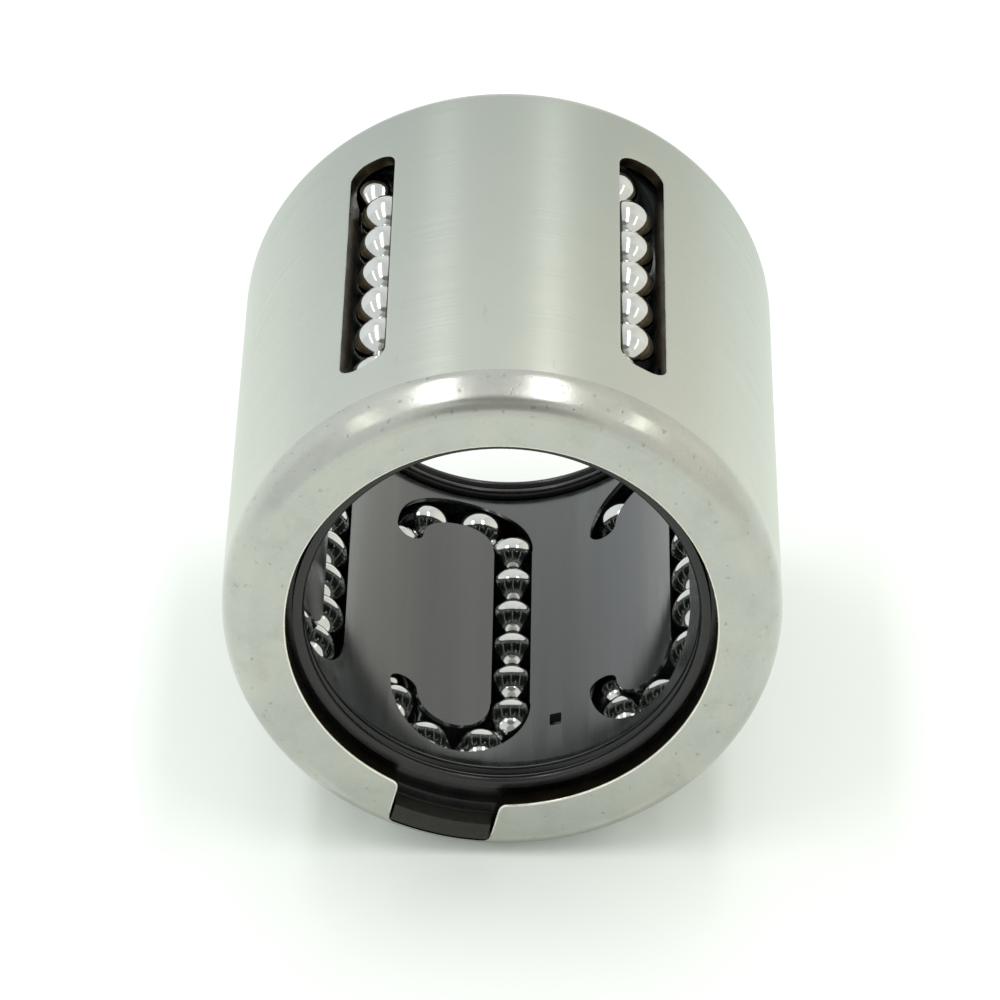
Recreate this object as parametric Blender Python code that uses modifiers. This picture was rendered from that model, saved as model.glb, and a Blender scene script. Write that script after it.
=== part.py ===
"""Linear ball bushing for a 20 mm shaft, lying on its side.

The bore runs along Y through the origin, which is the centre of the bushing.
The notched end faces -Y. Angles round the bore are counted from straight down
(-Z), positive towards +X. Lengths are in metres.
"""
import math

import bmesh
import bpy
from mathutils import Vector

MM = 0.001

# Drawn steel sleeve
SLEEVE_R = 14.0 * MM
HALF_LENGTH = 15.0 * MM
FLANGE_WALL = 1.0 * MM
FLANGE_HOLE_R = 10.75 * MM
TRACK_R = 13.06 * MM            # running surface of the loaded balls
RELIEF_R = 13.4 * MM            # relieved bore where the balls turn round
RELIEF_START = 7.6 * MM
RELIEF_END = 12.8 * MM
RELIEF_RAMP = 0.6 * MM
FRONT_ROUNDING = 1.57 * MM
REAR_ROUNDING = 1.0 * MM
WINDOW_WIDTH = 2.64 * MM
WINDOW_FRONT = -9.9 * MM
WINDOW_REAR = 10.4 * MM
WINDOW_CORNER = 1.1 * MM
WINDOW_CUT = (12.0 * MM, 15.0 * MM)
NOTCH_ANGLE = math.radians(-14.5)
NOTCH_WIDTH = 5.25 * MM
NOTCH_BOTTOM_R = 13.2 * MM
NOTCH_RUNOUT = 0.1 * MM

# Ball cage
CAGE_BORE_R = 10.3 * MM
CAGE_R = 12.9 * MM
CAGE_HALF = 13.88 * MM
CAGE_CORNER = 0.25 * MM
SEAL_POCKET_R = 11.95 * MM
SEAL_POCKET_Y = 12.58 * MM
CHANNEL_R = 1.65 * MM
CHANNEL_DEPTH = 2.4 * MM        # from the ball centres to beyond the cage's outer wall
LUG_WIDTH = 5.0 * MM
LUG_TOP_R = 12.05 * MM
LUG_BOTTOM_R = 12.85 * MM
LUG_FACE_Y = -14.9 * MM

# Lip seals
LIP_R = 9.88 * MM
SEAL_R = 11.85 * MM
SEAL_INNER_Y = 12.68 * MM
SEAL_OUTER_Y = 13.88 * MM
LIP_GROOVE = 0.22 * MM
LIP_CHAMFER = 0.15 * MM

# Balls and their closed circuits
BALL_R = 1.5 * MM
CIRCUITS = 6
LOADED_R = 11.5 * MM            # ball centres from the bore axis, shaft radius plus ball radius
RETURN_R = 12.08 * MM
TURN_EXIT_R = 11.75 * MM
TURN_TOP_R = 11.65 * MM
FIRST_CIRCUIT_ANGLE = math.radians(-14.0)
HALF_SPREAD = math.radians(16.0)
STRAIGHT_HALF = 7.3 * MM
CIRCUIT_MIDDLE = 0.35 * MM      # the circuits lie a little towards the rear
BALL_PITCH = 3.03 * MM
TURN_PITCH = math.radians(56.0)
BALLS_IN_ROW = 5
BALLS_IN_TURN = 3
NECK_R = 0.25 * MM
# How far each circuit's balls have rolled on from the even layout, towards +Y in the loaded row
ROLLED_ON = [-1.35 * MM, 0.15 * MM, 0.9 * MM, -0.05 * MM, -0.45 * MM, 0.3 * MM]

RING_STEPS = 48
TURN_STEPS = 8
CHANNEL_STEPS = 7
ARC_STEPS = 3
EPSILON = 0.00001


def clear_scene():
    for obj in list(bpy.data.objects):
        bpy.data.objects.remove(obj)


def new_collection(name):
    collection = bpy.data.collections.new(name)
    bpy.context.scene.collection.children.link(collection)
    return collection


def make_material(name, colour, roughness, metallic):
    material = bpy.data.materials.new(name)
    material.use_nodes = True
    shader = material.node_tree.nodes["Principled BSDF"]
    shader.inputs["Base Color"].default_value = (*colour, 1.0)
    shader.inputs["Roughness"].default_value = roughness
    shader.inputs["Metallic"].default_value = metallic
    return material


def add_object(name, mesh, collection, material=None):
    obj = bpy.data.objects.new(name, mesh)
    collection.objects.link(obj)
    if material and not mesh.materials:
        mesh.materials.append(material)
    return obj


def add_cutter(name, mesh):
    cutter = add_object(name, mesh, cutters)
    cutter.hide_render = True
    cutter.display_type = "WIRE"
    return cutter


def bmesh_to_mesh(name, bm):
    mesh = bpy.data.meshes.new(name)
    bm.to_mesh(mesh)
    bm.free()
    return mesh


def boolean(obj, other, operation):
    modifier = obj.modifiers.new(other.name, "BOOLEAN")
    modifier.operation = operation
    modifier.object = other
    modifier.solver = "EXACT"


def arc(centre_r, centre_y, radius, start, end, steps):
    """Points of a fillet in the radius/length plane, from one angle to another."""
    points = []
    for i in range(steps + 1):
        angle = start + (end - start) * i / steps
        points.append((centre_r + radius * math.cos(angle), centre_y + radius * math.sin(angle)))
    return points


def turned_ring(name, profile, collection, material):
    """Ring turned about Y from a closed profile of (radius, y), outer side first, from +Y to -Y."""
    bm = bmesh.new()
    corners = [bm.verts.new((radius, 0.0, y)) for radius, y in profile]
    for i, corner in enumerate(corners):
        bm.edges.new((corner, corners[(i + 1) % len(corners)]))
    ring = add_object(name, bmesh_to_mesh(name, bm), collection, material)
    ring.rotation_euler = (-math.pi / 2, 0.0, 0.0)
    screw = ring.modifiers.new("Turn", "SCREW")
    screw.axis = "Z"
    screw.steps = RING_STEPS
    screw.render_steps = RING_STEPS
    screw.use_merge_vertices = True
    screw.merge_threshold = EPSILON
    screw.use_smooth_shade = False
    return ring


def box_mesh(name, low, high, corner_radius=0.0):
    """Box between two corners, with its edges along Z rounded if a radius is given."""
    bm = bmesh.new()
    bmesh.ops.create_cube(bm, size=1.0)
    low = Vector(low)
    high = Vector(high)
    for vert in bm.verts:
        vert.co = low + Vector([(c + 0.5) * (b - a) for c, a, b in zip(vert.co, low, high)])
    if corner_radius:
        uprights = [e for e in bm.edges if abs(e.verts[0].co.z - e.verts[1].co.z) > EPSILON]
        bmesh.ops.bevel(bm, geom=uprights, offset=corner_radius, segments=ARC_STEPS,
                        profile=0.5, affect="EDGES")
    return bmesh_to_mesh(name, bm)


def notch_block(name, width, radii, span):
    """Piece of a ring between two flat sides, at the notch: between two radii and along a span."""
    inner, outer = radii
    front, rear = span
    profile = [(outer, rear), (outer, front), (inner, front), (inner, rear)]
    block = turned_ring(name, profile, cutters, None)
    sides = add_cutter(name + "_sides", box_mesh(name + "_sides", (-width / 2, front - MM, -outer - MM),
                                                 (width / 2, rear + MM, -inner + MM)))
    sides.rotation_euler = (0.0, -NOTCH_ANGLE, 0.0)
    boolean(block, sides, "INTERSECT")
    block.hide_render = True
    block.display_type = "WIRE"
    return block


def on_ring(radius, angle, y):
    return Vector((radius * math.sin(angle), y, -radius * math.cos(angle)))


def circuit_angle(index):
    """Angle round the bore of the middle of a circuit, between its two straight rows."""
    return FIRST_CIRCUIT_ANGLE + index * 2 * math.pi / CIRCUITS


class Turn:
    """Half circle that joins a loaded row to its return row, in the circuit's own frame.

    There the circuit is at the bottom of the bore, its loaded row on the +X side. The
    half circle lies in a slightly tilted plane, so that the balls leave the track on the
    way round, and side is +1 at the rear and -1 at the front.
    """

    def __init__(self, side):
        row_end = CIRCUIT_MIDDLE + side * STRAIGHT_HALF
        start = on_ring(LOADED_R, HALF_SPREAD, row_end)
        end = on_ring(TURN_EXIT_R, -HALF_SPREAD, row_end)
        self.centre = (start + end) / 2
        self.radius = (start - end).length / 2
        self.along = (start - end).normalized()
        sink = (TURN_TOP_R + self.centre.z) / self.radius
        outward = Vector((0.0, side * math.sqrt(1 - sink * sink), -sink))
        self.axis = self.along.cross(outward).normalized()
        self.outward = self.axis.cross(self.along)

    def point(self, angle):
        step = math.cos(angle) * self.along + math.sin(angle) * self.outward
        return self.centre + self.radius * step


def channel_path():
    """Closed path of the ball centres round one circuit, in the circuit's own frame."""
    rear = Turn(1)
    front = Turn(-1)
    angles = [math.pi * i / TURN_STEPS for i in range(TURN_STEPS + 1)]
    ramp_end = STRAIGHT_HALF - BALL_R
    points = [rear.point(angle) for angle in angles]
    points += [on_ring(RETURN_R, -HALF_SPREAD, CIRCUIT_MIDDLE + y) for y in (ramp_end, -ramp_end)]
    points += [front.point(angle) for angle in reversed(angles)]
    return points


def path_curve(name, points, cyclic):
    curve = bpy.data.curves.new(name, "CURVE")
    curve.dimensions = "3D"
    spline = curve.splines.new("POLY")
    spline.points.add(len(points) - 1)
    for spline_point, point in zip(spline.points, points):
        spline_point.co = (*point, 1.0)
    spline.use_cyclic_u = cyclic
    return curve


def curve_to_mesh(name, curve):
    """Mesh of a bevelled curve with its caps welded on."""
    holder = bpy.data.objects.new(name + "_curve", curve)
    cutters.objects.link(holder)
    depsgraph = bpy.context.evaluated_depsgraph_get()
    mesh = bpy.data.meshes.new_from_object(holder.evaluated_get(depsgraph))
    bpy.data.objects.remove(holder)
    bm = bmesh.new()
    bm.from_mesh(mesh)
    bmesh.ops.remove_doubles(bm, verts=bm.verts, dist=EPSILON)
    bmesh.ops.recalc_face_normals(bm, faces=bm.faces)
    bm.to_mesh(mesh)
    bm.free()
    mesh.name = name
    return mesh


def channel_mesh():
    """U-shaped channel round one circuit: round at the bottom, open to the outside."""
    outline = [(-CHANNEL_R, CHANNEL_DEPTH), (CHANNEL_R, CHANNEL_DEPTH)]
    for i in range(CHANNEL_STEPS + 1):
        angle = -math.pi * i / CHANNEL_STEPS
        outline.append((CHANNEL_R * math.cos(angle), CHANNEL_R * math.sin(angle)))
    profile = path_curve("channel_profile", [(x, -y, 0.0) for x, y in outline], True)
    profile_object = bpy.data.objects.new("channel_profile", profile)
    cutters.objects.link(profile_object)
    curve = path_curve("channel_path", channel_path(), True)
    curve.bevel_mode = "OBJECT"
    curve.bevel_object = profile_object
    curve.twist_mode = "Z_UP"
    mesh = curve_to_mesh("ball_channel", curve)
    bpy.data.objects.remove(profile_object)
    return mesh


def make_sleeve():
    front_centre = (SLEEVE_R - FRONT_ROUNDING, -HALF_LENGTH + FRONT_ROUNDING)
    rear_centre = (SLEEVE_R - REAR_ROUNDING, HALF_LENGTH - REAR_ROUNDING)
    quarter = math.pi / 2
    flange_y = HALF_LENGTH - FLANGE_WALL
    profile = [(FLANGE_HOLE_R, HALF_LENGTH)]
    profile += arc(*rear_centre, REAR_ROUNDING, quarter, 0.0, ARC_STEPS)
    profile += arc(*front_centre, FRONT_ROUNDING, 0.0, -quarter, ARC_STEPS)
    profile += [(FLANGE_HOLE_R, -HALF_LENGTH), (FLANGE_HOLE_R, -flange_y), (TRACK_R, -flange_y)]
    relief = [(TRACK_R, RELIEF_START), (RELIEF_R, RELIEF_START + RELIEF_RAMP)]
    relief += [(RELIEF_R, RELIEF_END - RELIEF_RAMP), (TRACK_R, RELIEF_END)]
    profile += [(radius, CIRCUIT_MIDDLE - y) for radius, y in reversed(relief)]
    profile += [(radius, CIRCUIT_MIDDLE + y) for radius, y in relief]
    profile += [(TRACK_R, flange_y), (FLANGE_HOLE_R, flange_y)]
    sleeve = turned_ring("outer_sleeve", profile, parts, steel)

    inside, outside = WINDOW_CUT
    window = box_mesh("window", (-WINDOW_WIDTH / 2, WINDOW_FRONT, -outside),
                      (WINDOW_WIDTH / 2, WINDOW_REAR, -inside), WINDOW_CORNER)
    for index in range(CIRCUITS):
        cutter = add_cutter(f"window_cutter_{index + 1}", window)
        cutter.rotation_euler = (0.0, HALF_SPREAD - circuit_angle(index), 0.0)
        boolean(sleeve, cutter, "DIFFERENCE")

    boolean(sleeve, notch_block("notch_cutter", NOTCH_WIDTH, (FLANGE_HOLE_R - MM, NOTCH_BOTTOM_R),
                                (-HALF_LENGTH - MM, -flange_y + NOTCH_RUNOUT)), "DIFFERENCE")


def make_cage():
    profile = [(CAGE_R - CAGE_CORNER, CAGE_HALF), (CAGE_R, CAGE_HALF - CAGE_CORNER)]
    profile += [(CAGE_R, -CAGE_HALF + CAGE_CORNER), (CAGE_R - CAGE_CORNER, -CAGE_HALF)]
    profile += [(SEAL_POCKET_R, -CAGE_HALF), (SEAL_POCKET_R, -SEAL_POCKET_Y)]
    profile += [(CAGE_BORE_R, -SEAL_POCKET_Y), (CAGE_BORE_R, SEAL_POCKET_Y)]
    profile += [(SEAL_POCKET_R, SEAL_POCKET_Y), (SEAL_POCKET_R, CAGE_HALF)]
    cage = turned_ring("ball_cage", profile, parts, cage_plastic)

    channel = channel_mesh()
    for index in range(CIRCUITS):
        cutter = add_cutter(f"channel_cutter_{index + 1}", channel)
        cutter.rotation_euler = (0.0, -circuit_angle(index), 0.0)
        boolean(cage, cutter, "DIFFERENCE")

    boolean(cage, notch_block("lug_joined", LUG_WIDTH, (LUG_TOP_R, LUG_BOTTOM_R),
                              (LUG_FACE_Y, -SEAL_POCKET_Y - MM)), "UNION")


def make_seal(name, side):
    """Double-lip seal ring: two edges on the bore side with a groove between them."""
    middle = (SEAL_INNER_Y + SEAL_OUTER_Y) / 2
    stations = [SEAL_OUTER_Y, SEAL_INNER_Y]
    bore = [(LIP_R + LIP_CHAMFER, SEAL_INNER_Y), (LIP_R, SEAL_INNER_Y + LIP_CHAMFER),
            (LIP_R + LIP_GROOVE, middle), (LIP_R, SEAL_OUTER_Y - LIP_CHAMFER),
            (LIP_R + LIP_CHAMFER, SEAL_OUTER_Y)]
    profile = [(SEAL_R, y) for y in stations] + bore
    if side < 0:
        profile = [(radius, -y) for radius, y in reversed(profile)]
    turned_ring(name, profile, parts, seal_rubber)


def ball_group_mesh(name, centres):
    """Disjoint balls at the given centres, as one mesh."""
    bm = bmesh.new()
    for centre in centres:
        made = bmesh.ops.create_icosphere(bm, subdivisions=2, radius=BALL_R)
        bmesh.ops.translate(bm, verts=made["verts"], vec=centre)
    return bmesh_to_mesh(name, bm)


def make_chain(name, centres, holder):
    """Touching balls as one body, joined at their points of contact by thin necks."""
    chain = add_object(name, ball_group_mesh(name, centres), parts, ball_steel)
    chain.parent = holder
    curve = path_curve(name + "_necks", centres, False)
    curve.bevel_depth = NECK_R
    curve.bevel_resolution = 0
    curve.use_fill_caps = True
    necks = add_cutter(name + "_necks", curve_to_mesh(name + "_necks", curve))
    necks.parent = holder
    boolean(chain, necks, "UNION")


def make_holder(name, location, parent):
    holder = bpy.data.objects.new(name, None)
    parts.objects.link(holder)
    holder.location = location
    holder.parent = parent
    return holder


def row_offsets(count, pitch):
    return [(i - (count - 1) / 2) * pitch for i in range(count)]


def make_circuit(index, ball_mesh):
    """Balls of one circuit: a loaded row, a return row and the two turns between them."""
    name = f"circuit{index + 1}"
    rolled = ROLLED_ON[index]
    frame = make_holder(name, (0.0, 0.0, 0.0), None)
    frame.rotation_euler = (0.0, -circuit_angle(index), 0.0)

    loaded_row = make_holder(name + "_loaded_row",
                             on_ring(LOADED_R, HALF_SPREAD, CIRCUIT_MIDDLE), frame)
    for number, offset in enumerate(row_offsets(BALLS_IN_ROW, BALL_PITCH), 1):
        ball = add_object(f"{name}_loaded_ball_{number}", ball_mesh, parts)
        ball.location = (0.0, offset + rolled, 0.0)
        ball.parent = loaded_row

    return_row = make_holder(name + "_return_row",
                             on_ring(RETURN_R, -HALF_SPREAD, CIRCUIT_MIDDLE), frame)
    centres = [Vector((0.0, offset - rolled, 0.0)) for offset in row_offsets(BALLS_IN_ROW, BALL_PITCH)]
    make_chain(name + "_return_balls", centres, return_row)

    for side, end in ((1, "rear"), (-1, "front")):
        turn = Turn(side)
        pivot = make_holder(f"{name}_{end}_turn", turn.centre, frame)
        middle = math.pi / 2 + side * rolled / turn.radius
        angles = [middle + offset for offset in row_offsets(BALLS_IN_TURN, TURN_PITCH)]
        centres = [turn.point(angle) - turn.centre for angle in angles]
        make_chain(f"{name}_{end}_turn_balls", centres, pivot)


clear_scene()
parts = new_collection("linear_ball_bushing")
cutters = new_collection("cutters")
steel = make_material("ground_steel", (0.52, 0.53, 0.50), 0.36, 1.0)
ball_steel = make_material("ball_steel", (0.75, 0.75, 0.75), 0.08, 1.0)
cage_plastic = make_material("cage_plastic", (0.045, 0.05, 0.05), 0.4, 0.0)
seal_rubber = make_material("seal_rubber", (0.03, 0.03, 0.03), 0.5, 0.0)

make_sleeve()
make_cage()
make_seal("front_seal", -1)
make_seal("rear_seal", 1)
single_ball = ball_group_mesh("ball", [Vector((0.0, 0.0, 0.0))])
single_ball.materials.append(ball_steel)
for circuit in range(CIRCUITS):
    make_circuit(circuit, single_ball)
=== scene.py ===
"""Looks of the linear ball bushing: fine meshes round the CAD frame, materials, light and camera.

Lengths are in metres. Angles round the bore are counted from straight down (-Z),
positive towards +X, and the bore runs along Y with the notched end at -Y.
"""
import math

import bmesh
import bpy
from mathutils import Matrix, Vector


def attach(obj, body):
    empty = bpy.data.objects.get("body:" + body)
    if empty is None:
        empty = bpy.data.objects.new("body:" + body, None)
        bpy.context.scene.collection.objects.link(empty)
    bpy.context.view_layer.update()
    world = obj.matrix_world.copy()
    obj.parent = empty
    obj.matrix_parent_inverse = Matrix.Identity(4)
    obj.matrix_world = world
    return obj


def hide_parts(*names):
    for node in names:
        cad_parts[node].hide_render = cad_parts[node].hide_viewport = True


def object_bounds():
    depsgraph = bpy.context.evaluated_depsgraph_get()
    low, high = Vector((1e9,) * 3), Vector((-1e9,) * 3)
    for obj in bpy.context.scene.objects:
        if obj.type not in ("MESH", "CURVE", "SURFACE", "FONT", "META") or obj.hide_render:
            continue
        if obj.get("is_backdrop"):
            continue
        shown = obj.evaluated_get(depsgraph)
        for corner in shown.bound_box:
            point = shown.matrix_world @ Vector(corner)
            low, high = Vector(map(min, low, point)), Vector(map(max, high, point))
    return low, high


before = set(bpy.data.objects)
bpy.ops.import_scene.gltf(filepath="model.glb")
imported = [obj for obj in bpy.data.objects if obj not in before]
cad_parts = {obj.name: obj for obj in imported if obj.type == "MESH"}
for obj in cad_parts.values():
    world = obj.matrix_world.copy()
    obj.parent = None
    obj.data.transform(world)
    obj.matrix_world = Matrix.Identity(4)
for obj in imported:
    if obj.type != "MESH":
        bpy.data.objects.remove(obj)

cad_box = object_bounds()
MM = 0.001
ROOT = "bushing_shell"
scene = bpy.context.scene

# ---------------------------------------------------------------- sizes, with the CAD's outlines and tracks
SLEEVE_R = 14.0 * MM
HALF_LENGTH = 15.0 * MM
FLANGE_WALL = 1.0 * MM
FLANGE_HOLE_R = 10.75 * MM
TRACK_R = 13.06 * MM            # running surface of the loaded balls
RELIEF_R = 13.4 * MM            # relieved bore where the balls turn round
RELIEF_START = 7.6 * MM
RELIEF_END = 12.8 * MM
RELIEF_RAMP = 0.6 * MM
FRONT_ROUNDING = 1.57 * MM      # across the ring
FRONT_ROUNDING_LENGTH = 2.05 * MM  # it reaches further along the wall
REAR_ROUNDING = 1.0 * MM
WALL_RINGS_Y = [y * MM for y in range(12, -13, -2)]
WINDOW_WIDTH = 2.64 * MM
WINDOW_FRONT = -9.9 * MM
WINDOW_REAR = 10.4 * MM
WINDOW_CORNER = 1.1 * MM
WINDOW_CUT = (12.0 * MM, 15.0 * MM)
WINDOW_EDGE = 0.045 * MM
NOTCH_ANGLE = math.radians(-14.5)
NOTCH_HALF_WIDTH = 2.625 * MM
NOTCH_BOTTOM_R = 13.2 * MM
NOTCH_CORNER = 0.4 * MM
HOLE_EDGE = 0.09 * MM           # rounded edge of the rings' holes
OPENING_FLARE = 1.3 * HOLE_EDGE
OPENING_RUNOUT = 0.1 * MM

CAGE_BORE_R = 10.3 * MM
CAGE_R = 12.9 * MM
CAGE_HALF = 13.88 * MM
CAGE_CORNER = 0.2 * MM
POCKET_CORNER = 0.08 * MM
SEAL_POCKET_R = 11.95 * MM
SEAL_POCKET_Y = 12.58 * MM
CAGE_END_ROUNDINGS = (0.75 * MM, 0.12 * MM)  # front, rear
CHANNEL_R = 1.61 * MM
CHANNEL_DEPTH = 2.4 * MM        # from the ball centres to beyond the cage's outer wall
MOUTH_R = 1.13 * MM             # half the slot's width, half way round a turn
MOUTH_ROW_R = 1.06 * MM         # at the loaded row
MOUTH_END_R = 0.79 * MM         # and at the hooked end
LUG_WIDTH = 5.0 * MM
LUG_RADII = (12.05 * MM, 13.0 * MM)
LUG_FACE_Y = -14.9 * MM
LUG_EDGE = 0.07 * MM
GATE_ANGLE = math.radians(15.2)  # the mark that the mould's gate left
GATE_HALF_WIDTH = 0.31 * MM
GATE_Y = (-9.0 * MM, -8.0 * MM)
GATE_DEPTH = 0.6 * MM
GATE_CORNER = 0.1 * MM

LIP_R = 9.88 * MM
LIP_ROUNDING = 0.27 * MM
LIP_GROOVE = 0.42 * MM
LIP_LEAN = math.radians(35.0)
SEAL_R = 11.85 * MM
SEAL_INNER_Y = 12.68 * MM
SEAL_OUTER_Y = 13.95 * MM
SEAL_RECESS = 0.5 * MM
SEAL_TAPER = 0.05 * MM
SEAL_RIM = 0.5 * MM

BALL_R = 1.5 * MM
CIRCUITS = 6
LOADED_R = 11.5 * MM            # ball centres from the bore axis
RETURN_R = 12.08 * MM
TURN_EXIT_R = 11.75 * MM
TURN_TOP_R = 11.65 * MM
FIRST_CIRCUIT_ANGLE = math.radians(-14.0)
HALF_SPREAD = math.radians(16.0)
STRAIGHT_HALF = 7.3 * MM
CIRCUIT_MIDDLE = 0.35 * MM      # the circuits lie a little towards the rear
BALL_PITCH = 3.03 * MM
TURN_PITCH = math.radians(56.0)
BALLS_IN_ROW = 5
BALLS_IN_TURN = 3
# how far each circuit's balls have rolled on from the even layout, at rest
ROLLED_ON = [-1.35 * MM, 0.15 * MM, 0.9 * MM, -0.05 * MM, -0.45 * MM, 0.3 * MM]

# ---------------------------------------------------------------- fineness and tolerances
RING_STEPS = 288
ARC_STEPS = 12
FRONT_ROUNDING_STEPS = 16
HOLE_EDGE_STEPS = 4
HOLE_STEPS = 240
NOTCH_BOTTOM_STEPS = 24
NOTCH_CORNER_STEPS = 6
TURN_STEPS = 32
CHANNEL_STEPS = 24
BALL_SEGMENTS = 48
BALL_RINGS = 24
SMOOTH_ANGLE = math.radians(30.0)
SHARP_ANGLE = 0.7
STRAIGHT_ANGLE = 0.03
EPSILON = 1e-6
TOLERANCE = 0.01 * MM

# ---------------------------------------------------------------- floor, light and camera
FLOOR_HALF = 1.5
FLOOR_GAP = 0.02 * MM
LIGHT_HEIGHT = 0.4
WHITE = (1.0, 1.0, 1.0)
WARM = (1.0, 1.0, 0.88)
# name, place across, reach along the bore, width, radiance and colour of each light strip
LIGHT_STRIPS = [("strip_left", -0.160, (-0.24, 0.29), 0.06, 6.0, WHITE),
                ("strip_right", 0.104, (-0.24, 0.29), 0.055, 5.5, WHITE),
                ("side_left", -0.42, (-0.35, 0.1), 0.06, 2.6, WARM),
                ("side_right", 0.42, (-0.35, 0.1), 0.06, 2.6, WARM)]
TENT_LEFT = (0.94, 0.985, 0.99)
TENT_RIGHT = (1.0, 1.0, 0.93)
TENT_OVERHEAD = (0.84, 0.86, 0.86)
# half width, middle height, half height and colour of each dimmer gap at the front of the tent
TENT_GAPS = [(0.30, 0.42, 0.27, (0.42, 0.43, 0.40)),
             (0.28, 0.79, 0.10, (0.22, 0.225, 0.20))]
# brightness of the backdrop against the tangent of the angle to the right of straight back
BACKDROP_FOLDS = [(-1.5, 1.15), (-0.65, 1.06), (-0.36, 0.96), (-0.15, 1.05), (0.16, 1.06), (0.20, 1.14),
                  (0.26, 1.08), (0.40, 0.90), (0.65, 1.0), (1.5, 1.12)]
CAMERA_AZIMUTH = math.radians(0.7186)
CAMERA_ELEVATION = math.radians(33.1008)
CAMERA_DISTANCE = 331.93 * MM
CAMERA_TARGET = Vector((-0.2569 * MM, 0.0, -2.0835 * MM))
CAMERA_LENS = 230.58
CAMERA_SENSOR = 36.0


# ---------------------------------------------------------------- mesh helpers
def new_object(name, mesh, material=None):
    obj = bpy.data.objects.new(name, mesh)
    scene.collection.objects.link(obj)
    if material:
        mesh.materials.append(material)
    return obj


def mesh_from(name, bm):
    mesh = bpy.data.meshes.new(name)
    bm.to_mesh(mesh)
    bm.free()
    return mesh


def arc(centre_r, centre_y, radius, start, end, steps=ARC_STEPS, length=None):
    """Points of a round edge in the radius/length plane, which is oval if it is given a length."""
    angles = [start + (end - start) * i / steps for i in range(steps + 1)]
    length = length or radius
    return [(centre_r + radius * math.cos(a), centre_y + length * math.sin(a)) for a in angles]


def turned(name, profile, steps=RING_STEPS):
    """Mesh turned about Y from a closed profile of (radius, y)."""
    bm = bmesh.new()
    corners = [bm.verts.new((radius, y, 0.0)) for radius, y in profile]
    edges = [bm.edges.new(pair) for pair in zip(corners, corners[1:] + corners[:1])]
    bmesh.ops.spin(bm, geom=corners + edges, cent=(0, 0, 0), axis=(0, 1, 0),
                   angle=2 * math.pi, steps=steps, use_merge=True)
    bmesh.ops.remove_doubles(bm, verts=bm.verts, dist=EPSILON)
    bmesh.ops.recalc_face_normals(bm, faces=bm.faces)
    return mesh_from(name, bm)


def loft(name, rings):
    """Closed mesh through rings of points, capped at both ends."""
    bm = bmesh.new()
    rows = [[bm.verts.new(point) for point in ring] for ring in rings]
    count = len(rows[0])
    for low, high in zip(rows, rows[1:]):
        for i in range(count):
            k = (i + 1) % count
            bm.faces.new((low[i], low[k], high[k], high[i]))
    bm.faces.new(list(reversed(rows[0])))
    bm.faces.new(rows[-1])
    bmesh.ops.recalc_face_normals(bm, faces=bm.faces)
    return mesh_from(name, bm)


def box(name, low, high, bevel=0.0):
    bm = bmesh.new()
    bmesh.ops.create_cube(bm, size=1.0)
    low = Vector(low)
    high = Vector(high)
    for vert in bm.verts:
        vert.co = low + Vector([(c + 0.5) * (b - a) for c, a, b in zip(vert.co, low, high)])
    if bevel:
        bmesh.ops.bevel(bm, geom=list(bm.edges), offset=bevel, segments=3, profile=0.5, affect="EDGES")
    return mesh_from(name, bm)


def turn_about_bore(mesh, angle):
    mesh.transform(Matrix.Rotation(-angle, 4, "Y"))
    return mesh


def joined(name, meshes):
    bm = bmesh.new()
    for mesh in meshes:
        bm.from_mesh(mesh)
    return mesh_from(name, bm)


def combine(obj, mesh, operation):
    """Boolean of obj with a mesh, kept as obj's own mesh."""
    other = new_object("operand", mesh)
    modifier = obj.modifiers.new("Combine", "BOOLEAN")
    modifier.operation = operation
    modifier.object = other
    modifier.solver = "EXACT"
    keep_modifiers(obj)
    bpy.data.objects.remove(other)


def keep_modifiers(obj):
    depsgraph = bpy.context.evaluated_depsgraph_get()
    depsgraph.update()
    result = bpy.data.meshes.new_from_object(obj.evaluated_get(depsgraph))
    obj.modifiers.clear()
    obj.data = result


def cleaned(obj):
    """Removes the hair-thin faces that the Booleans leave, and the spare corners on straight edges."""
    bm = bmesh.new()
    bm.from_mesh(obj.data)
    bmesh.ops.remove_doubles(bm, verts=bm.verts, dist=EPSILON)
    bmesh.ops.dissolve_degenerate(bm, edges=bm.edges, dist=EPSILON)
    passing = [vert for vert in bm.verts if len(vert.link_edges) == 2]
    straight = [vert for vert in passing if vert.calc_edge_angle() < STRAIGHT_ANGLE]
    bmesh.ops.dissolve_verts(bm, verts=straight)
    bm.to_mesh(obj.data)
    bm.free()


def smooth(obj):
    obj.data.shade_smooth()
    obj.data.set_sharp_from_angle(angle=SMOOTH_ANGLE)


def bevel_edges(obj, chosen, width):
    """Rounds the sharp edges of obj that chosen(edge) picks out."""
    bm = bmesh.new()
    bm.from_mesh(obj.data)
    shared = [edge for edge in bm.edges if len(edge.link_faces) == 2]
    edges = [edge for edge in shared if edge.calc_face_angle(0) > SHARP_ANGLE and chosen(edge)]
    bmesh.ops.bevel(bm, geom=edges, offset=width, segments=2, profile=0.5, affect="EDGES", clamp_overlap=True)
    bm.to_mesh(obj.data)
    bm.free()


def on_ring(radius, angle, y):
    return Vector((radius * math.sin(angle), y, -radius * math.cos(angle)))


def circuit_angle(index):
    return FIRST_CIRCUIT_ANGLE + index * 2 * math.pi / CIRCUITS


def ring_radius(point):
    return math.hypot(point.x, point.z)


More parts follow.
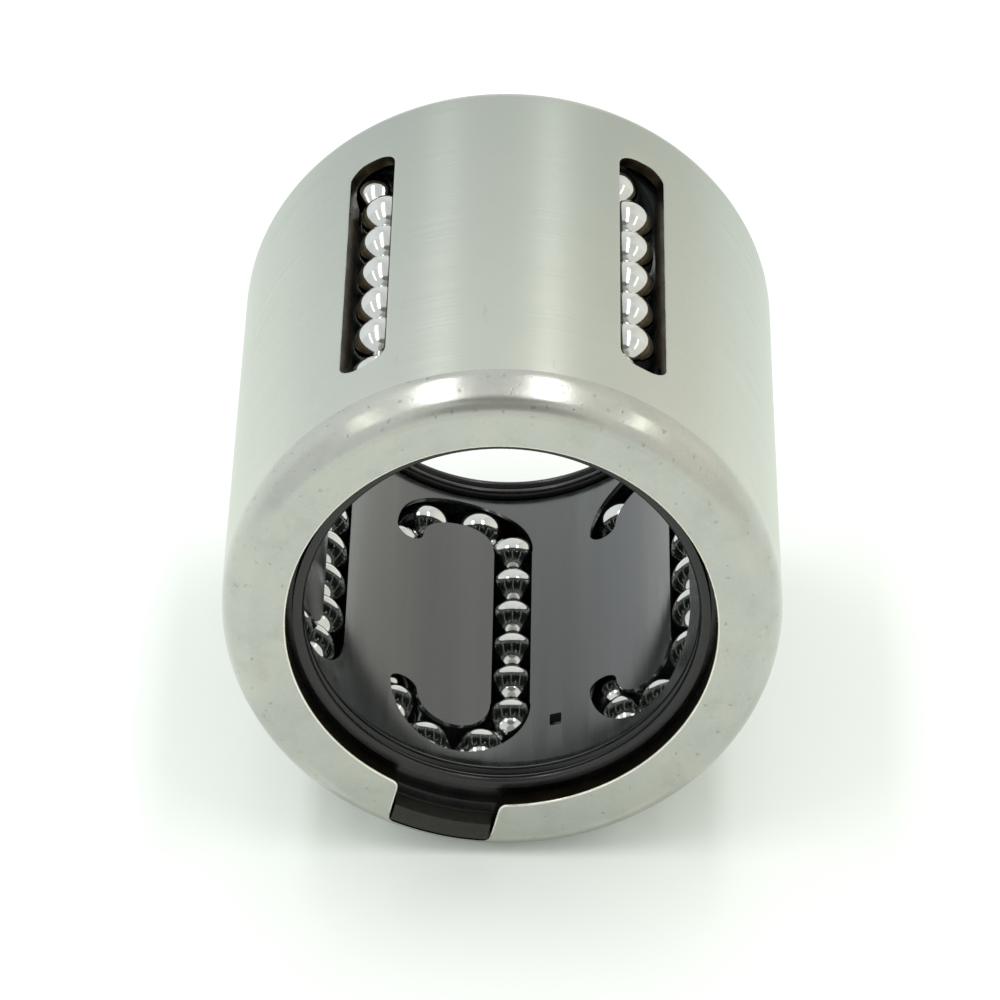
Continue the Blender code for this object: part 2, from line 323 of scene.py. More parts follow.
# ---------------------------------------------------------------- node helpers
class Nodes:
    """Short way to build a node tree."""

    def __init__(self, tree):
        self.tree = tree

    def add(self, kind, **settings):
        node = self.tree.nodes.new(kind)
        for key, value in settings.items():
            setattr(node, key, value)
        return node

    def link(self, source, target):
        self.tree.links.new(source, target)

    def feed(self, target, value):
        if hasattr(value, "links"):
            self.link(value, target)
        else:
            target.default_value = value

    def math(self, operation, a, b=0.0, c=0.0):
        node = self.add("ShaderNodeMath", operation=operation)
        for socket, value in zip(node.inputs, (a, b, c)):
            self.feed(socket, value)
        return node.outputs[0]

    def range(self, value, low, high, to_low=0.0, to_high=1.0):
        node = self.add("ShaderNodeMapRange")
        self.feed(node.inputs["Value"], value)
        node.inputs["From Min"].default_value = low
        node.inputs["From Max"].default_value = high
        node.inputs["To Min"].default_value = to_low
        node.inputs["To Max"].default_value = to_high
        return node.outputs[0]

    def ramp(self, value, stops):
        """Colour that follows a value through (value, brightness) stops, spread evenly over its range."""
        low, high = stops[0][0], stops[-1][0]
        node = self.add("ShaderNodeValToRGB")
        self.link(self.range(value, low, high), node.inputs[0])
        elements = node.color_ramp.elements
        while len(elements) < len(stops):
            elements.new(0.5)
        for element, (place, brightness) in zip(elements, stops):
            element.position = (place - low) / (high - low)
            element.color = (brightness, brightness, brightness, 1.0)
        return node.outputs[0]

    def mix(self, factor, a, b, blend="MIX"):
        node = self.add("ShaderNodeMix", data_type="RGBA", blend_type=blend)
        self.feed(node.inputs["Factor"], factor)
        for socket, colour in ((node.inputs[6], a), (node.inputs[7], b)):
            self.feed(socket, (*colour, 1.0) if isinstance(colour, tuple) else colour)
        return node.outputs[2]


class Finish(Nodes):
    """Node tree of a new material. Its patterns are fixed to the object, at so many waves a metre."""

    def __init__(self, name):
        self.material = bpy.data.materials.new(name)
        self.material.use_nodes = True
        super().__init__(self.material.node_tree)
        self.shader = self.tree.nodes["Principled BSDF"]
        self.position = self.add("ShaderNodeTexCoord").outputs["Object"]

    def along(self):
        """Place along the bore."""
        node = self.add("ShaderNodeSeparateXYZ")
        self.link(self.position, node.inputs[0])
        return node.outputs[1]

    def stretched(self, scale):
        node = self.add("ShaderNodeMapping")
        self.link(self.position, node.inputs["Vector"])
        node.inputs["Scale"].default_value = scale
        return node.outputs[0]

    def noise(self, scale, detail=3.0, roughness=0.5, vector=None, distortion=0.0):
        node = self.add("ShaderNodeTexNoise")
        self.link(vector or self.position, node.inputs["Vector"])
        node.inputs["Scale"].default_value = scale
        node.inputs["Detail"].default_value = detail
        node.inputs["Roughness"].default_value = roughness
        node.inputs["Distortion"].default_value = distortion
        return node.outputs[0]

    def bump(self, height, strength, distance):
        node = self.add("ShaderNodeBump")
        self.link(height, node.inputs["Height"])
        node.inputs["Strength"].default_value = strength
        node.inputs["Distance"].default_value = distance
        self.link(node.outputs[0], self.shader.inputs["Normal"])

    def turned_grain(self):
        """Grooves round the bore's axis: a quarter turn of the radial tangent draws highlights along it."""
        node = self.add("ShaderNodeTangent", direction_type="RADIAL", axis="Y")
        self.link(node.outputs[0], self.shader.inputs["Tangent"])
        self.set("Anisotropic Rotation", 0.25)

    def set(self, name, value):
        self.feed(self.shader.inputs[name], value)


# ---------------------------------------------------------------- materials
def ground_steel():
    """Centreless-ground outer wall: fine marks round it, which spread highlights along it, and painted shade
    that darkens it towards the rear end.
    """
    n = Finish("ground_steel")
    marks = n.noise(1.0, 4.0, 0.6, n.stretched((60.0, 9000.0, 60.0)))
    fine = n.noise(1.0, 2.0, 0.5, n.stretched((500.0, 26000.0, 500.0)))
    clouds = n.noise(220.0, 4.0, 0.6)
    scuffs = n.noise(1.0, 3.0, 0.6, n.stretched((1500.0, 300.0, 1500.0)))
    tone = n.mix(n.range(clouds, 0.3, 0.7), (0.515, 0.535, 0.475), (0.55, 0.565, 0.50))
    tone = n.mix(n.range(marks, 0.3, 0.7, 0.0, 0.30), tone, (0.56, 0.575, 0.53))
    tone = n.mix(n.range(scuffs, 0.66, 0.74, 0.0, 0.25), tone, (0.36, 0.37, 0.33))
    # Painted shade: the wall is painted darker towards the rear end, where less light falls on it.
    tone = n.mix(n.range(n.along(), -HALF_LENGTH, HALF_LENGTH), tone, (0.40, 0.43, 0.39))
    n.set("Base Color", tone)
    n.set("Metallic", 1.0)
    n.set("Roughness", n.range(marks, 0.25, 0.75, 0.20, 0.29))
    n.set("Anisotropic", 0.8)
    n.turned_grain()
    relief = n.math("ADD", n.math("MULTIPLY", marks, 0.6), n.math("MULTIPLY", fine, 0.4))
    n.bump(relief, 0.14, 2e-6)
    return n.material


def flange_steel():
    """Pressed end ring: satin, mottled with faint stains, with fine scratches and a few pits."""
    n = Finish("flange_steel")
    clouds = n.noise(260.0, 4.0, 0.55)
    stains = n.noise(620.0, 5.0, 0.6, None, 0.3)
    grain = n.noise(6500.0, 3.0, 0.7)
    scratches = n.noise(1.0, 3.0, 0.6, n.stretched((400.0, 400.0, 6000.0)), 0.5)
    pits = n.range(n.noise(3000.0, 2.0, 0.4), 0.67, 0.74)
    tone = n.mix(n.range(clouds, 0.36, 0.64), (0.440, 0.446, 0.418), (0.476, 0.480, 0.432))
    tone = n.mix(n.range(stains, 0.50, 0.72, 0.0, 0.55), tone, (0.385, 0.390, 0.350))
    tone = n.mix(n.range(grain, 0.55, 0.75, 0.0, 0.30), tone, (0.60, 0.60, 0.56))
    tone = n.mix(n.math("MULTIPLY", pits, 0.5), tone, (0.24, 0.24, 0.21))
    n.set("Base Color", tone)
    n.set("Metallic", 1.0)
    haze = n.math("ADD", clouds, n.math("MULTIPLY", stains, 0.6))
    n.set("Roughness", n.range(haze, 0.5, 1.1, 0.16, 0.28))
    relief = n.math("ADD", n.math("MULTIPLY", grain, 0.6), n.math("MULTIPLY", scratches, 0.8))
    n.bump(n.math("SUBTRACT", relief, pits), 0.42, 5e-6)
    return n.material


def rim_steel_painted_highlight():
    """Rim of the front opening: painted brighter and warmer than the ring, a painted highlight along the
    hole's edge.
    """
    n = Finish("rim_steel_painted_highlight")
    rim_mottle = n.noise(1300.0, 3.0, 0.6)
    # Painted highlight: the rim's bright warm colour stands in for the highlight on the hole's edge, mottled
    # by noise.
    n.set("Base Color", n.mix(n.range(rim_mottle, 0.35, 0.65), (0.70, 0.67, 0.56), (0.86, 0.84, 0.75)))
    n.set("Metallic", 1.0)
    n.set("Roughness", n.range(rim_mottle, 0.3, 0.7, 0.22, 0.36))
    n.bump(rim_mottle, 0.2, 3e-6)
    return n.material


def cut_steel_painted_shade():
    """Punched walls of the windows, notch and hole, and the inside: painted near black as painted shade, with
    a brown stain.
    """
    n = Finish("cut_steel_painted_shade")
    streaks = n.noise(2500.0, 3.0, 0.6)
    clouds = n.noise(500.0, 3.0, 0.6)
    # Painted shade: steel this dark stands in for the shade in the windows and the bore.
    n.set("Base Color", n.mix(n.range(clouds, 0.35, 0.65), (0.030, 0.023, 0.013), (0.065, 0.052, 0.034)))
    n.set("Metallic", 1.0)
    n.set("Roughness", n.range(streaks, 0.3, 0.7, 0.30, 0.46))
    n.bump(streaks, 0.2, 4e-6)
    return n.material


def polished_steel():
    """Ball steel: a mirror with the faintest lapping marks and a slight haze."""
    n = Finish("polished_steel")
    haze = n.noise(900.0, 3.0, 0.6)
    lapping = n.noise(9000.0, 2.0, 0.5)
    n.set("Base Color", n.mix(n.range(haze, 0.3, 0.7), (0.565, 0.575, 0.56), (0.64, 0.645, 0.625)))
    n.set("Metallic", 1.0)
    n.set("Roughness", n.range(haze, 0.3, 0.7, 0.09, 0.14))
    n.bump(lapping, 0.03, 1e-6)
    return n.material


def cage_plastic():
    """Moulded cage: dark grey, semi-gloss, with a faint grain and flow marks along it."""
    n = Finish("cage_plastic")
    flow = n.noise(1.0, 4.0, 0.55, n.stretched((480.0, 60.0, 480.0)), 0.4)
    streaks = n.noise(1.0, 3.0, 0.5, n.stretched((850.0, 34.0, 850.0)))
    grain = n.noise(5200.0, 3.0, 0.6)
    tone = n.mix(n.range(flow, 0.3, 0.7), (0.014, 0.018, 0.016), (0.030, 0.036, 0.034))
    tone = n.mix(n.range(streaks, 0.50, 0.68, 0.0, 0.8), tone, (0.052, 0.062, 0.060))
    n.set("Base Color", tone)
    haze = n.range(flow, 0.3, 0.7, 0.09, 0.22)
    n.set("Roughness", n.math("ADD", haze, n.range(grain, 0.3, 0.7, 0.0, 0.04)))
    n.set("IOR", 1.8)
    relief = n.math("ADD", n.math("MULTIPLY", flow, 0.7), n.math("MULTIPLY", grain, 0.3))
    n.bump(relief, 0.10, 8e-6)
    return n.material


def cage_end_plastic():
    """The cage's ends and lug: the same plastic with the mould's matt finish."""
    n = Finish("cage_end_plastic")
    grain = n.noise(3800.0, 4.0, 0.65)
    n.set("Base Color", n.mix(n.range(grain, 0.35, 0.65), (0.013, 0.013, 0.010), (0.022, 0.021, 0.016)))
    n.set("Roughness", n.range(grain, 0.3, 0.7, 0.34, 0.5))
    n.set("IOR", 1.42)
    n.bump(grain, 0.25, 8e-6)
    return n.material


def seal_rubber():
    """Nitrile rubber: near black, slightly oily."""
    n = Finish("seal_rubber")
    grain = n.noise(4200.0, 3.0, 0.6)
    bloom = n.noise(420.0, 3.0, 0.6)
    n.set("Base Color", n.mix(n.range(bloom, 0.35, 0.65), (0.006, 0.006, 0.006), (0.012, 0.012, 0.011)))
    n.set("Roughness", n.range(bloom, 0.3, 0.7, 0.22, 0.34))
    n.set("IOR", 1.5)
    n.bump(grain, 0.14, 5e-6)
    return n.material


def floor_white():
    """Plain white table, slightly glossy, that glows a little: painted light that lifts its shadows."""
    n = Finish("floor_white")
    tint = n.noise(9.0, 2.0, 0.5)
    n.set("Base Color", n.mix(tint, (0.755, 0.79, 0.755), (0.785, 0.81, 0.78)))
    n.set("Roughness", n.range(n.noise(60.0, 2.0, 0.5), 0.3, 0.7, 0.14, 0.2))
    n.set("IOR", 1.45)
    # Painted light: the table glows, though it is no lamp, so its shadows are lighter.
    n.set("Emission Color", (0.93, 1.0, 0.94, 1.0))
    n.set("Emission Strength", 0.12)
    return n.material


# ---------------------------------------------------------------- outer sleeve
def hole_outline(grow, y):
    """Opening of the front ring: a round hole with the notch, grown outwards by a margin.

    Its angle is counted from the notch's middle. The notch has parallel sides, and
    its four corners are rounded by the offset of a plain outline.
    """
    half = NOTCH_HALF_WIDTH
    side_angle = math.asin(half / FLANGE_HOLE_R)
    bottom_angle = math.asin(half / NOTCH_BOTTOM_R)
    steps = NOTCH_BOTTOM_STEPS
    plain = [on_ring(NOTCH_BOTTOM_R, bottom_angle * (2 * i / steps - 1), 0.0) for i in range(steps + 1)]
    plain += [on_ring(FLANGE_HOLE_R, side_angle + (2 * math.pi - 2 * side_angle) * i / HOLE_STEPS, 0.0)
              for i in range(HOLE_STEPS + 1)]
    corners = (0, steps, steps + 1, len(plain) - 1)
    cleared = 1.05 * NOTCH_CORNER
    points = []
    for i, point in enumerate(plain):
        before = plain[i - 1]
        after = plain[(i + 1) % len(plain)]
        if i in corners:
            points += fillet(before, point, after, NOTCH_CORNER)
        elif all((point - plain[corner]).length >= cleared for corner in corners):
            points.append(point)
    grown = []
    for i, point in enumerate(points):
        tangent = (points[(i + 1) % len(points)] - points[i - 1]).normalized()
        grown.append(point + grow * Vector((tangent.z, 0.0, -tangent.x)))
    turned_points = [Matrix.Rotation(-NOTCH_ANGLE, 3, "Y") @ point for point in grown]
    return [Vector((p.x, y, p.z)) for p in turned_points]


def fillet(before, corner, after, size):
    """Points that round a corner, starting and ending at a distance from it."""
    start = corner + (before - corner).normalized() * size
    end = corner + (after - corner).normalized() * size
    points = []
    for i in range(NOTCH_CORNER_STEPS + 1):
        t = i / NOTCH_CORNER_STEPS
        points.append((1 - t) ** 2 * start + 2 * t * (1 - t) * corner + t * t * end)
    return points


def window_mesh():
    """Long slot cutter with round corners, standing on the wall at the bottom of the bore."""
    half = WINDOW_WIDTH / 2
    outline = []
    for cx, cy, start in ((half, WINDOW_REAR, 0.0), (-half, WINDOW_REAR, 90.0),
                          (-half, WINDOW_FRONT, 180.0), (half, WINDOW_FRONT, 270.0)):
        inset_x = cx - math.copysign(WINDOW_CORNER, cx)
        inset_y = cy - math.copysign(WINDOW_CORNER, cy)
        for i in range(ARC_STEPS + 1):
            angle = math.radians(start + 90.0 * i / ARC_STEPS)
            outline.append((inset_x + WINDOW_CORNER * math.cos(angle),
                            inset_y + WINDOW_CORNER * math.sin(angle)))
    return loft("window", [[(x, y, -radius) for x, y in outline] for radius in WINDOW_CUT])


def sleeve_zone(face):
    """Material of a face: 0 ground outside, 1 end ring and its rounding, 2 rim of the hole, 3 cut walls."""
    radius = ring_radius(face.center)
    from_end = HALF_LENGTH - abs(face.center.y)
    across, along = REAR_ROUNDING, REAR_ROUNDING
    if face.center.y < 0:
        across, along = FRONT_ROUNDING, FRONT_ROUNDING_LENGTH
    if from_end < EPSILON:
        return 1
    if radius > SLEEVE_R - across and from_end < along and face.normal.y * face.center.y > 0:
        return 1
    if from_end < HOLE_EDGE and abs(face.normal.y) > 0.1:
        return 2
    if radius > SLEEVE_R - 2 * WINDOW_EDGE:
        return 0
    return 3


def make_sleeve(wall, ring, edge, cut):
    """One turned cup with both ends turned in, cut by six windows and by the front opening."""
    quarter = math.pi / 2
    flange_y = HALF_LENGTH - FLANGE_WALL
    blank_hole = FLANGE_HOLE_R - MM
    profile = arc(FLANGE_HOLE_R + HOLE_EDGE, HALF_LENGTH - HOLE_EDGE, HOLE_EDGE,
                  2 * quarter, quarter, HOLE_EDGE_STEPS)
    profile += arc(SLEEVE_R - REAR_ROUNDING, HALF_LENGTH - REAR_ROUNDING, REAR_ROUNDING, quarter, 0.0)
    profile += [(SLEEVE_R, y) for y in WALL_RINGS_Y]
    profile += arc(SLEEVE_R - FRONT_ROUNDING, -HALF_LENGTH + FRONT_ROUNDING_LENGTH, FRONT_ROUNDING,
                   0.0, -quarter, FRONT_ROUNDING_STEPS, FRONT_ROUNDING_LENGTH)
    profile += [(blank_hole, -HALF_LENGTH), (blank_hole, -flange_y), (TRACK_R, -flange_y)]
    relief = [(TRACK_R, RELIEF_START), (RELIEF_R, RELIEF_START + RELIEF_RAMP)]
    relief += [(RELIEF_R, RELIEF_END - RELIEF_RAMP), (TRACK_R, RELIEF_END)]
    profile += [(radius, CIRCUIT_MIDDLE - y) for radius, y in reversed(relief)]
    profile += [(radius, CIRCUIT_MIDDLE + y) for radius, y in relief]
    profile += [(TRACK_R, flange_y), (FLANGE_HOLE_R, flange_y)]
    sleeve = new_object("sleeve", turned("sleeve", profile))

    window = window_mesh()
    windows = [turn_about_bore(window.copy(), circuit_angle(i) - HALF_SPREAD) for i in range(CIRCUITS)]
    combine(sleeve, joined("windows", windows), "DIFFERENCE")
    rings = [hole_outline(OPENING_FLARE, -HALF_LENGTH - HOLE_EDGE)]
    for i in range(HOLE_EDGE_STEPS + 1):
        t = quarter * (1 - i / HOLE_EDGE_STEPS)
        grow = HOLE_EDGE * (1 - math.cos(t))
        rings.append(hole_outline(grow, -HALF_LENGTH + HOLE_EDGE * (1 - math.sin(t))))
    rings.append(hole_outline(0.0, -flange_y + OPENING_RUNOUT))
    combine(sleeve, loft("opening", rings), "DIFFERENCE")
    bevel_edges(sleeve, lambda edge: all(abs(ring_radius(v.co) - SLEEVE_R) < TOLERANCE for v in edge.verts),
                WINDOW_EDGE)
    cleaned(sleeve)

    mesh = sleeve.data
    mesh.materials.clear()
    for material in (wall, ring, edge, cut):
        mesh.materials.append(material)
    for face in mesh.polygons:
        face.material_index = sleeve_zone(face)
    smooth(sleeve)
    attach(sleeve, ROOT)
    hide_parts("outer_sleeve")


# ---------------------------------------------------------------- ball circuits
class Turn:
    """Half circle that joins a loaded row to its return row, in the circuit's own frame."""

    def __init__(self, side):
        row_end = CIRCUIT_MIDDLE + side * STRAIGHT_HALF
        start = on_ring(LOADED_R, HALF_SPREAD, row_end)
        end = on_ring(TURN_EXIT_R, -HALF_SPREAD, row_end)
        self.centre = (start + end) / 2
        self.radius = (start - end).length / 2
        self.along = (start - end).normalized()
        sink = (TURN_TOP_R + self.centre.z) / self.radius
        outward = Vector((0.0, side * math.sqrt(1 - sink * sink), -sink))
        axis = self.along.cross(outward).normalized()
        self.outward = axis.cross(self.along)

    def point(self, angle):
        step = math.cos(angle) * self.along + math.sin(angle) * self.outward
        return self.centre + self.radius * step


def channel_mesh():
    """U-shaped channel round one circuit: round at the bottom, open to the outside."""
    angles = [math.pi * i / TURN_STEPS for i in range(TURN_STEPS + 1)]
    ramp_end = STRAIGHT_HALF - BALL_R
    path = [Turn(1).point(angle) for angle in angles]
    path += [on_ring(RETURN_R, -HALF_SPREAD, CIRCUIT_MIDDLE + y) for y in (ramp_end, -ramp_end)]
    path += [Turn(-1).point(angle) for angle in reversed(angles)]
    outline = [(-CHANNEL_R, -CHANNEL_DEPTH), (CHANNEL_R, -CHANNEL_DEPTH)]
    for i in range(CHANNEL_STEPS + 1):
        angle = math.pi * i / CHANNEL_STEPS
        outline.append((CHANNEL_R * math.cos(angle), CHANNEL_R * math.sin(angle)))
    bm = bmesh.new()
    rows = []
    for i, point in enumerate(path):
        along = path[(i + 1) % len(path)] - path[i - 1]
        side = Vector((along.y, -along.x, 0.0)).normalized()
        rows.append([bm.verts.new(point + u * side + Vector((0.0, 0.0, v))) for u, v in outline])
    count = len(outline)
    for row, following in zip(rows, rows[1:] + rows[:1]):
        for k in range(count):
            j = (k + 1) % count
            bm.faces.new((row[k], row[j], following[j], following[k]))
    bmesh.ops.recalc_face_normals(bm, faces=bm.faces)
    return mesh_from("channel", bm)


def round_cap(station, side):
    """Stations that close a tube's end with a half ball, back along the bore."""
    centre, radius = station
    angles = [math.pi / 2 * i / ARC_STEPS for i in range(1, ARC_STEPS)]
    offsets = [Vector((0.0, -side * radius * math.sin(angle), 0.0)) for angle in angles]
    return [(centre + offset, radius * math.cos(angle)) for offset, angle in zip(offsets, angles)]


def mouth_mesh(side):
    """Tube along a turn at the bore's wall, which opens the slot there, with a round end."""
    turn = Turn(side)
    stations = []
    for i in range(TURN_STEPS + 1):
        angle = math.pi * i / TURN_STEPS
        point = turn.point(angle)
        shrink = CAGE_BORE_R / ring_radius(point)
        row_share = max(0.0, math.cos(angle))
        end_share = max(0.0, -math.cos(angle)) ** 2
        radius = MOUTH_R + (MOUTH_ROW_R - MOUTH_R) * row_share + (MOUTH_END_R - MOUTH_R) * end_share
        stations.append((Vector((point.x * shrink, point.y, point.z * shrink)), radius))
    stations = round_cap(stations[0], side)[::-1] + stations + round_cap(stations[-1], side)
    rings = []
    for i, (centre, radius) in enumerate(stations):
        along = (stations[min(i + 1, len(stations) - 1)][0] - stations[max(i - 1, 0)][0]).normalized()
        across = Vector((along.y, -along.x, 0.0)).normalized()
        up = along.cross(across)
        ring = [2 * math.pi * k / CHANNEL_STEPS for k in range(CHANNEL_STEPS)]
        rings.append([centre + radius * (math.cos(a) * across + math.sin(a) * up) for a in ring])
    return loft("mouth", rings)


def lug_mesh():
    """Block with a round top and bottom, which stands in the notch of the front ring."""
    inner, outer = LUG_RADII
    back = -SEAL_POCKET_Y - MM
    corners = [(outer, back), (outer, LUG_FACE_Y), (inner, LUG_FACE_Y), (inner, back)]
    lug = new_object("lug", turned("lug", corners))
    low = (-LUG_WIDTH / 2, LUG_FACE_Y - MM, -outer - MM)
    high = (LUG_WIDTH / 2, back + MM, -inner + MM)
    combine(lug, turn_about_bore(box("lug_sides", low, high), NOTCH_ANGLE), "INTERSECT")
    bevel_edges(lug, lambda edge: True, LUG_EDGE)
    mesh = lug.data.copy()
    bpy.data.objects.remove(lug)
    return mesh


def make_cage(inside, ends):
    """One turned tube, with the six circuits' channels and mouths cut in, a lug and a gate mark."""
    edge = CAGE_CORNER
    small = POCKET_CORNER
    quarter = math.pi / 2
    front, rear = CAGE_END_ROUNDINGS
    profile = [(CAGE_R - edge, CAGE_HALF), (CAGE_R, CAGE_HALF - edge)]
    profile += [(CAGE_R, -CAGE_HALF + edge), (CAGE_R - edge, -CAGE_HALF)]
    profile += [(SEAL_POCKET_R + small, -CAGE_HALF), (SEAL_POCKET_R, -CAGE_HALF + small)]
    profile += [(SEAL_POCKET_R, -SEAL_POCKET_Y)]
    profile += arc(CAGE_BORE_R + front, -SEAL_POCKET_Y + front, front, -quarter, -2 * quarter)
    profile += arc(CAGE_BORE_R + rear, SEAL_POCKET_Y - rear, rear, 2 * quarter, quarter)
    profile += [(SEAL_POCKET_R, SEAL_POCKET_Y)]
    profile += [(SEAL_POCKET_R, CAGE_HALF - small), (SEAL_POCKET_R + small, CAGE_HALF)]
    cage = new_object("cage", turned("cage", profile))

    channel = channel_mesh()
    channels = [turn_about_bore(channel.copy(), circuit_angle(i)) for i in range(CIRCUITS)]
    combine(cage, joined("channels", channels), "DIFFERENCE")
    mouths = [mouth_mesh(1), mouth_mesh(-1)]
    copies = [turn_about_bore(mouth.copy(), circuit_angle(i)) for i in range(CIRCUITS) for mouth in mouths]
    combine(cage, joined("mouths", copies), "DIFFERENCE")

    combine(cage, lug_mesh(), "UNION")
    low = (-GATE_HALF_WIDTH, GATE_Y[0], -CAGE_BORE_R - GATE_DEPTH)
    high = (GATE_HALF_WIDTH, GATE_Y[1], -CAGE_BORE_R + MM)
    combine(cage, turn_about_bore(box("gate", low, high, GATE_CORNER), GATE_ANGLE), "DIFFERENCE")
    cleaned(cage)
    mesh = cage.data
    mesh.materials.clear()
    mesh.materials.append(inside)
    mesh.materials.append(ends)
    for face in mesh.polygons:
        face.material_index = 1 if abs(face.center.y) > SEAL_POCKET_Y + TOLERANCE else 0
    smooth(cage)
    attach(cage, ROOT)
    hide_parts("ball_cage")


# ---------------------------------------------------------------- seals
def make_seal(name, node, side, material):
    """Double-lip ring: two rounded edges on the bore side with a groove between them."""
    flat = 2 * LIP_ROUNDING
    crests = (SEAL_INNER_Y + LIP_ROUNDING, SEAL_OUTER_Y - LIP_ROUNDING)
    groove_y = (SEAL_INNER_Y + SEAL_OUTER_Y) / 2
    profile = [(SEAL_R, SEAL_OUTER_Y), (SEAL_R, SEAL_INNER_Y), (LIP_R + flat, SEAL_INNER_Y)]
    profile += arc(LIP_R + LIP_ROUNDING, crests[0], LIP_ROUNDING, 1.5 * math.pi, math.pi - LIP_LEAN)
    profile += [(LIP_R + LIP_GROOVE, groove_y)]
    profile += arc(LIP_R + LIP_ROUNDING, crests[1], LIP_ROUNDING, math.pi + LIP_LEAN, 0.5 * math.pi)
    profile += [(LIP_R + flat, SEAL_OUTER_Y), (LIP_R + flat + SEAL_TAPER, SEAL_OUTER_Y - SEAL_RECESS)]
    profile += [(SEAL_R - SEAL_RIM, SEAL_OUTER_Y - SEAL_RECESS), (SEAL_R - SEAL_RIM, SEAL_OUTER_Y)]
    profile = [(radius, side * y) for radius, y in profile]
    seal = new_object(name, turned(name, profile), material)
    smooth(seal)
    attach(seal, ROOT)
    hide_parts(node)


# ---------------------------------------------------------------- balls
def row_offsets(count, pitch):
    return [(i - (count - 1) / 2) * pitch for i in range(count)]


def ball_groups(index):
    """Each group of one circuit: what it is called, its body, its CAD nodes and its ball centres."""
    name = f"circuit{index + 1}"
    rolled = ROLLED_ON[index]
    rows = row_offsets(BALLS_IN_ROW, BALL_PITCH)
    loaded = [on_ring(LOADED_R, HALF_SPREAD, CIRCUIT_MIDDLE + y + rolled) for y in rows]
    solids = [f"{name}_loaded_ball_{number}" for number in range(1, BALLS_IN_ROW + 1)]
    yield "loaded", f"{name}_loaded_row", solids, loaded
    back = [on_ring(RETURN_R, -HALF_SPREAD, CIRCUIT_MIDDLE + y - rolled) for y in rows]
    yield "return", f"{name}_return_row", [f"{name}_return_balls"], back
    for side, end in ((1, "rear"), (-1, "front")):
        turn = Turn(side)
        middle = math.pi / 2 + side * rolled / turn.radius
        centres = [turn.point(middle + a) for a in row_offsets(BALLS_IN_TURN, TURN_PITCH)]
        yield f"{end}_turn", f"{name}_{end}_turn", [f"{name}_{end}_turn_balls"], centres


def make_balls(material):
    """All 96 balls, each one an object of its own that rides with its group's body."""
    bm = bmesh.new()
    bmesh.ops.create_uvsphere(bm, u_segments=BALL_SEGMENTS, v_segments=BALL_RINGS, radius=BALL_R)
    sphere = mesh_from("ball", bm)
    sphere.shade_smooth()
    sphere.materials.append(material)
    for index in range(CIRCUITS):
        place = Matrix.Rotation(-circuit_angle(index), 4, "Y")
        for group, body, nodes, centres in ball_groups(index):
            for number, centre in enumerate(centres, 1):
                ball = new_object(f"ball_{index + 1}_{group}_{number}", sphere)
                ball.matrix_world = place @ Matrix.Translation(centre)
                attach(ball, body)
                if len(nodes) > 1:
                    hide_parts(nodes[number - 1])
                elif number == 1:
                    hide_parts(nodes[0])


# ---------------------------------------------------------------- floor, light and camera
def make_floor(material):
    bm = bmesh.new()
    bmesh.ops.create_grid(bm, x_segments=1, y_segments=1, size=FLOOR_HALF)
    floor = new_object("floor", mesh_from("floor", bm), material)
    floor.location = (0.0, 0.0, -SLEEVE_R - FLOOR_GAP)
    floor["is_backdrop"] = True


def strip_light(name, x, y_range, width, radiance, colour):
    """Long soft strip overhead, along Y, that faces straight down."""
    light = bpy.data.lights.new(name, "AREA")
    light.color = colour
    light.shape = "RECTANGLE"
    light.size = width
    light.size_y = y_range[1] - y_range[0]
    light.energy = radiance * math.pi * light.size * light.size_y
    holder = bpy.data.objects.new(name, light)
    scene.collection.objects.link(holder)
    holder.location = (x, sum(y_range) / 2, LIGHT_HEIGHT)


def tent_gap(n, direction, half_width, middle, half_height):
    """Share of a soft-edged oval at the front of the tent, 1 inside it and 0 outside."""
    x, y, z = direction
    across = n.math("POWER", n.math("DIVIDE", x, half_width), 2.0)
    high = n.math("POWER", n.math("DIVIDE", n.math("SUBTRACT", z, middle), half_height), 2.0)
    inside = n.range(n.math("ADD", across, high), 1.3, 0.7)
    return n.math("MULTIPLY", inside, n.range(y, -0.2, -0.4))


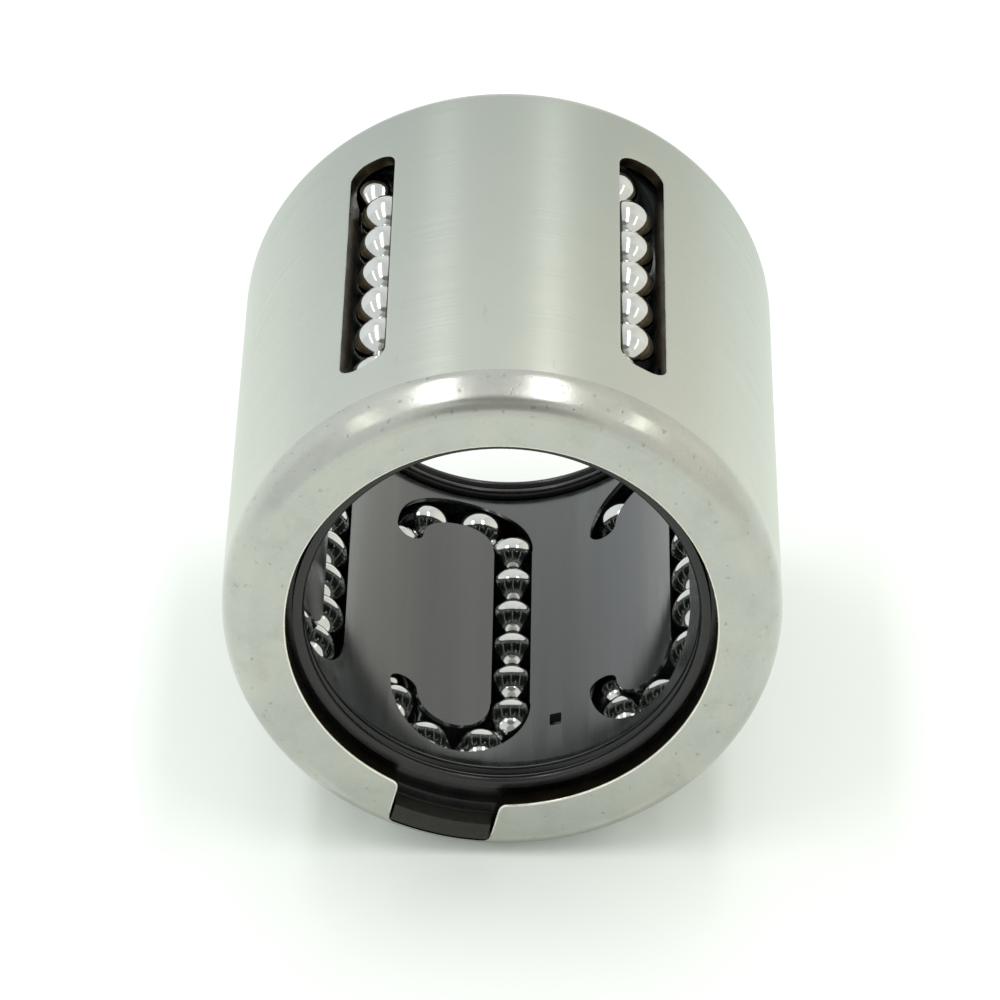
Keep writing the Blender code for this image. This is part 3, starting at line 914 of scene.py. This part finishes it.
def make_world():
    """White tent: even all round, a little dimmer overhead, with two darker gaps at the front."""
    world = bpy.data.worlds.new("tent")
    world.use_nodes = True
    scene.world = world
    n = Nodes(world.node_tree)
    split = n.add("ShaderNodeSeparateXYZ")
    n.link(n.add("ShaderNodeTexCoord").outputs["Generated"], split.inputs[0])
    direction = x, y, z = split.outputs
    cloth = n.mix(n.range(x, -0.5, 0.5), TENT_LEFT, TENT_RIGHT)
    cloth = n.mix(n.range(z, 0.55, 1.0), cloth, TENT_OVERHEAD)
    folds = n.ramp(n.math("DIVIDE", x, n.math("MAXIMUM", y, 0.05)), BACKDROP_FOLDS)
    cloth = n.mix(n.range(y, 0.1, 0.3), cloth, folds, "MULTIPLY")
    for half_width, middle, half_height, colour in TENT_GAPS:
        cloth = n.mix(tent_gap(n, direction, half_width, middle, half_height), cloth, colour)
    background = n.tree.nodes["Background"]
    n.link(cloth, background.inputs["Color"])
    background.inputs["Strength"].default_value = 1.0


def make_camera():
    """Looks down at the front end, from almost straight ahead."""
    level = math.cos(CAMERA_ELEVATION)
    back = Vector((math.sin(CAMERA_AZIMUTH) * level, -math.cos(CAMERA_AZIMUTH) * level,
                   math.sin(CAMERA_ELEVATION)))
    camera = bpy.data.objects.new("camera", bpy.data.cameras.new("camera"))
    scene.collection.objects.link(camera)
    camera.data.sensor_width = CAMERA_SENSOR
    camera.data.lens = CAMERA_LENS
    camera.data.clip_start = 0.01
    camera.location = CAMERA_TARGET + back * CAMERA_DISTANCE
    camera.rotation_euler = back.to_track_quat("Z", "Y").to_euler()
    scene.camera = camera


make_sleeve(ground_steel(), flange_steel(), rim_steel_painted_highlight(), cut_steel_painted_shade())
make_cage(cage_plastic(), cage_end_plastic())
rubber = seal_rubber()
make_seal("seal_front", "front_seal", -1, rubber)
make_seal("seal_rear", "rear_seal", 1, rubber)
make_balls(polished_steel())
make_floor(floor_white())
make_world()
for strip in LIGHT_STRIPS:
    strip_light(*strip)
make_camera()
scene.view_settings.view_transform = "Standard"
scene.view_settings.look = "None"

boxes = {"cad": cad_box, "visual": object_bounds()}
{key: [[float(c) for c in corner] for corner in value] for key, value in boxes.items()}
